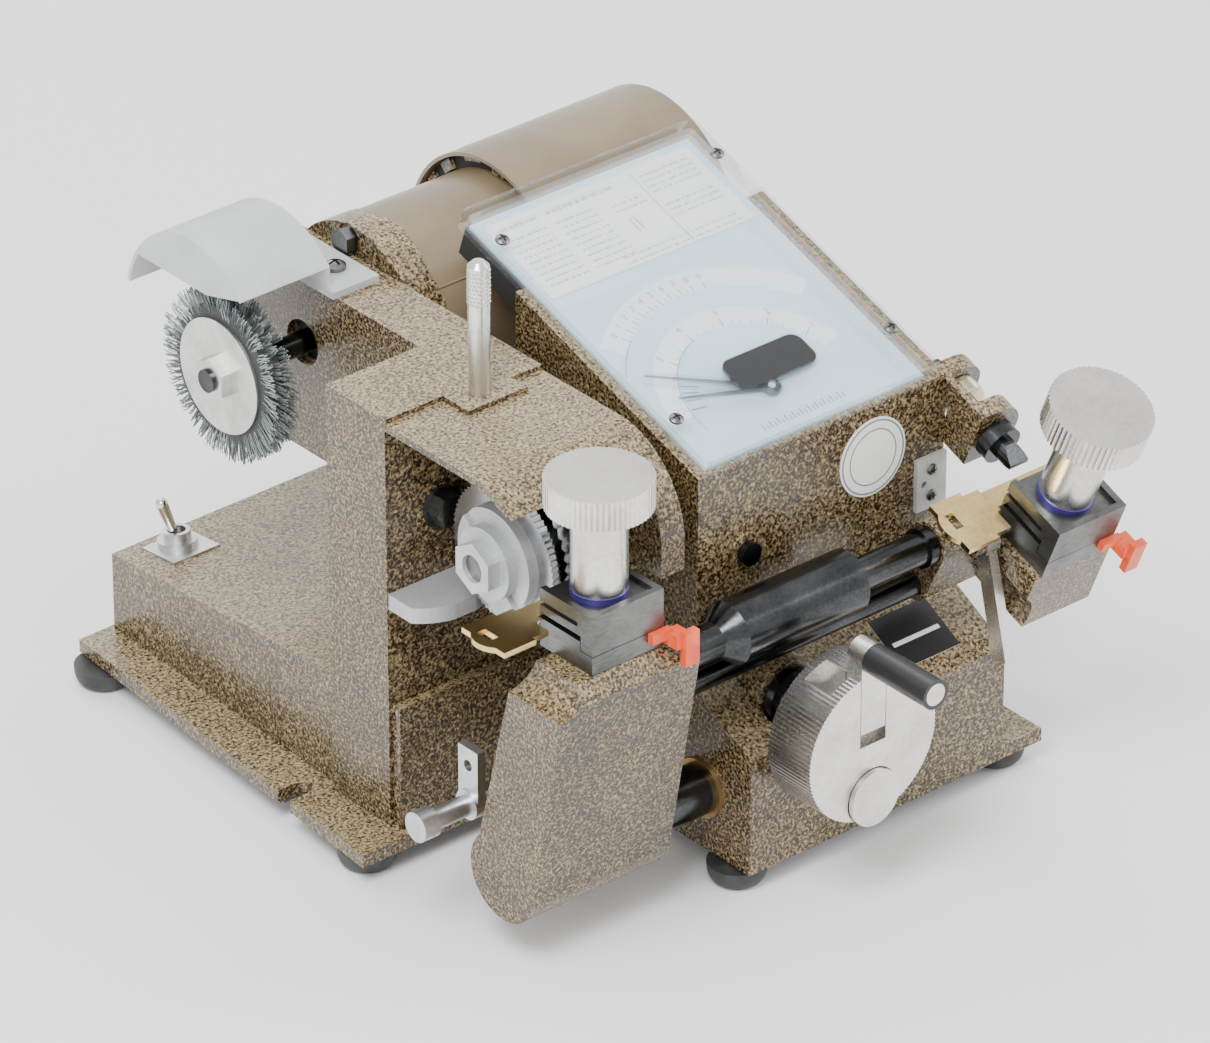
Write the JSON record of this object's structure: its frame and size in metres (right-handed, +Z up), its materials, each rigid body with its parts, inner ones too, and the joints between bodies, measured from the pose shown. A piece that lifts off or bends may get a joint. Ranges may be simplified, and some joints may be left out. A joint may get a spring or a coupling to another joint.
{
  "type": "key duplicating machine",
  "caption": "Bench-top key duplicating and code-cutting machine with a swinging two-vise carriage, cutter, tracer, dial panel, crank handwheel and belt-driven brush.",
  "frame": {"origin": "on the bench under the middle of the machine's outline, at the bottom of the rubber feet", "axes": "+X along the carriage to the operator's right, +Y away from the operator towards the motor, +Z up"},
  "size_m": [0.292, 0.3836, 0.264],
  "materials": {
    "hammertone": "hammered two-tone lacquer, beige gold over dark brown",
    "motor_lacquer": "satin tan lacquer",
    "light_casting": "light gray as-cast and machined",
    "dark_steel": "dark phosphated and ground steel",
    "black_steel": "black oiled and polished steel",
    "nickel": "satin nickel plate",
    "brass": "bright brass",
    "bronze": "sintered bronze",
    "foot_rubber": "moulded rubber",
    "belt_rubber": "smooth black belt",
    "clear_acrylic": "clear acrylic with polished edges",
    "frosted_plastic": "frosted translucent plastic",
    "dial_print": "printed dial and card",
    "label_film": "printed film",
    "red_plastic": "orange red moulded plastic",
    "black_paint": "black lacquer",
    "bristle_wire": "crimped wire in packed bundles"
  },
  "bodies": {
    "root": {"base_casting": "hammertone", "base_plate": "dark_steel", "rubber_feet": "foot_rubber", "dial_housing": "hammertone", "belt_arm": "hammertone", "spindle_hood": "hammertone", "chip_deflector": "light_casting", "hex_bolts": "dark_steel", "pan_screws": "dark_steel", "switch_body": "light_casting", "switch_nut": "light_casting", "motor_end_bell": "hammertone", "motor_can": "motor_lacquer", "motor_cover": "motor_lacquer", "drive_belt": "belt_rubber", "brush_guard": "frosted_plastic", "spindle_bearings": "light_casting", "lock_spring": "dark_steel", "dial_cover": "clear_acrylic", "dial_face": "dial_print", "panel_back": "black_paint", "labels": "label_film", "tracer_holder": "hammertone", "holder_plate": "light_casting", "shaft_bushes": "bronze", "stop_pin": "black_steel"},
    "motor": {"motor_shaft": "black_steel", "motor_pulley": "light_casting", "brush_bristles": "bristle_wire", "brush_hub": "light_casting"},
    "spindle": {"spindle_shaft": "dark_steel", "spindle_pulley": "light_casting", "cutter_wheels": "light_casting", "cutter_nut": "light_casting"},
    "pin": {"lock_pin": "nickel"},
    "toggle": {"switch_lever": "nickel"},
    "slider": {"carriage_shaft": "black_steel", "carriage_rack": "dark_steel"},
    "carriage": {"left_leaf": "hammertone", "right_leaf": "hammertone", "tie_rods": "black_steel", "left_lower_jaw": "dark_steel", "right_lower_jaw": "dark_steel", "keys": "brass", "tip_stops": "red_plastic"},
    "left_jaw": {"left_upper_jaw": "dark_steel"},
    "left_screw": {"left_knob": "nickel"},
    "right_jaw": {"right_upper_jaw": "dark_steel"},
    "right_screw": {"right_knob": "nickel"},
    "wheel": {"handwheel": "nickel", "drive_pinion": "black_steel", "finger_disc": "nickel"},
    "crank": {"crank_arm": "nickel"},
    "handle": {"crank_handle": "black_paint"},
    "gauge": {"gauge_lever": "nickel"},
    "latch": {"latch_rod": "light_casting"},
    "micrometer": {"micrometer_ring": "brass"},
    "tracer": {"tracer_pin": "black_steel"},
    "depth_hand": {"depth_pointer": "black_paint"},
    "space_hand": {"space_pointer": "black_paint"}
  },
  "joints": [
    {"name": "motor_spin", "type": "hinge", "parent": "root", "child": "motor", "pos_m": [-0.039, 0.10625, 0.175], "axis": [1, 0, 0], "continuous": true},
    {"name": "spindle_spin", "type": "hinge", "parent": "root", "child": "spindle", "pos_m": [-0.053, -0.04725, 0.152], "axis": [1, 0, 0], "continuous": true},
    {"name": "lock_pin_press", "type": "slide", "parent": "root", "child": "pin", "axis": [0, 0, 1], "range_m": [-0.003, 0], "stiffness_N_per_m": 300, "springref_m": 0.004, "deforming": ["lock_spring"]},
    {"name": "switch_toggle", "type": "hinge", "parent": "root", "child": "toggle", "pos_m": [-0.082, 0.17456, 0.05661], "axis": [0, 0.9946, -0.1042], "range_deg": [0, 36]},
    {"name": "carriage_slide", "type": "slide", "parent": "root", "child": "slider", "axis": [1, 0, 0], "range_m": [-0.011, 0.011]},
    {"name": "carriage_swing", "type": "hinge", "parent": "slider", "child": "carriage", "pos_m": [-0.093, -0.09125, 0.0385], "axis": [1, 0, 0], "range_deg": [-2.6, 5]},
    {"name": "left_knob_turn", "type": "hinge", "parent": "left_jaw", "child": "left_screw", "pos_m": [-0.08825, -0.105, 0.162], "axis": [0, 0, 1], "range_deg": [0, 720]},
    {"name": "left_jaw_lift", "type": "slide", "parent": "carriage", "child": "left_jaw", "axis": [0, 0, 1], "range_m": [0, 0.003]},
    {"name": "right_knob_turn", "type": "hinge", "parent": "right_jaw", "child": "right_screw", "pos_m": [0.11775, -0.15026, 0.14786], "axis": [0, -0.3746, 0.9272], "range_deg": [0, 720]},
    {"name": "right_jaw_lift", "type": "slide", "parent": "carriage", "child": "right_jaw", "axis": [0, -0.3746, 0.9272], "range_m": [0, 0.003]},
    {"name": "handwheel_turn", "type": "hinge", "parent": "root", "child": "wheel", "pos_m": [0.011, -0.14275, 0.075], "axis": [0, 1, 0], "range_deg": [-42.02, 42.02]},
    {"name": "crank_reach", "type": "slide", "parent": "wheel", "child": "crank", "axis": [0, 0, 1], "range_m": [-0.006, 0]},
    {"name": "handle_spin", "type": "hinge", "parent": "crank", "child": "handle", "pos_m": [0.011, -0.17075, 0.1155], "axis": [0, 1, 0], "continuous": true},
    {"name": "gauge_lever_swing", "type": "hinge", "parent": "carriage", "child": "gauge", "pos_m": [0.091, -0.13175, 0.128], "axis": [1, 0, 0], "range_deg": [-70, 10]},
    {"name": "latch_rod_slide", "type": "slide", "parent": "root", "child": "latch", "axis": [1, 0, 0], "range_m": [-0.01, 0.012]},
    {"name": "micrometer_turn", "type": "hinge", "parent": "root", "child": "micrometer", "pos_m": [0.119, -0.08602, 0.16303], "axis": [0, -0.9272, -0.3746], "range_deg": [-360, 360]},
    {"name": "tracer_feed", "type": "slide", "parent": "root", "child": "tracer", "axis": [0, -0.9272, -0.3746], "range_m": [-0.001, 0.001]},
    {"name": "depth_pointer_swing", "type": "hinge", "parent": "root", "child": "depth_hand", "pos_m": [0.0355, -0.06538, 0.19108], "axis": [0, -0.319, 0.9478], "range_deg": [-30, 15.6]},
    {"name": "space_pointer_swing", "type": "hinge", "parent": "root", "child": "space_hand", "pos_m": [0.0355, -0.06497, 0.18985], "axis": [0, -0.319, 0.9478], "range_deg": [-27.48, 27.48]}
  ],
  "couplings": [
    {"joint": "spindle_spin", "follows": "motor_spin", "ratio": 0.8},
    {"joint": "handwheel_turn", "follows": "carriage_slide", "rad_per_m": -66.667},
    {"joint": "left_knob_turn", "follows": "left_jaw_lift", "rad_per_m": 4188.8},
    {"joint": "right_knob_turn", "follows": "right_jaw_lift", "rad_per_m": 4188.8},
    {"joint": "micrometer_turn", "follows": "tracer_feed", "rad_per_m": 6283.2},
    {"joint": "depth_pointer_swing", "follows": "carriage_swing", "ratio": -6},
    {"joint": "space_pointer_swing", "follows": "carriage_slide", "rad_per_m": 43.6}
  ]
}
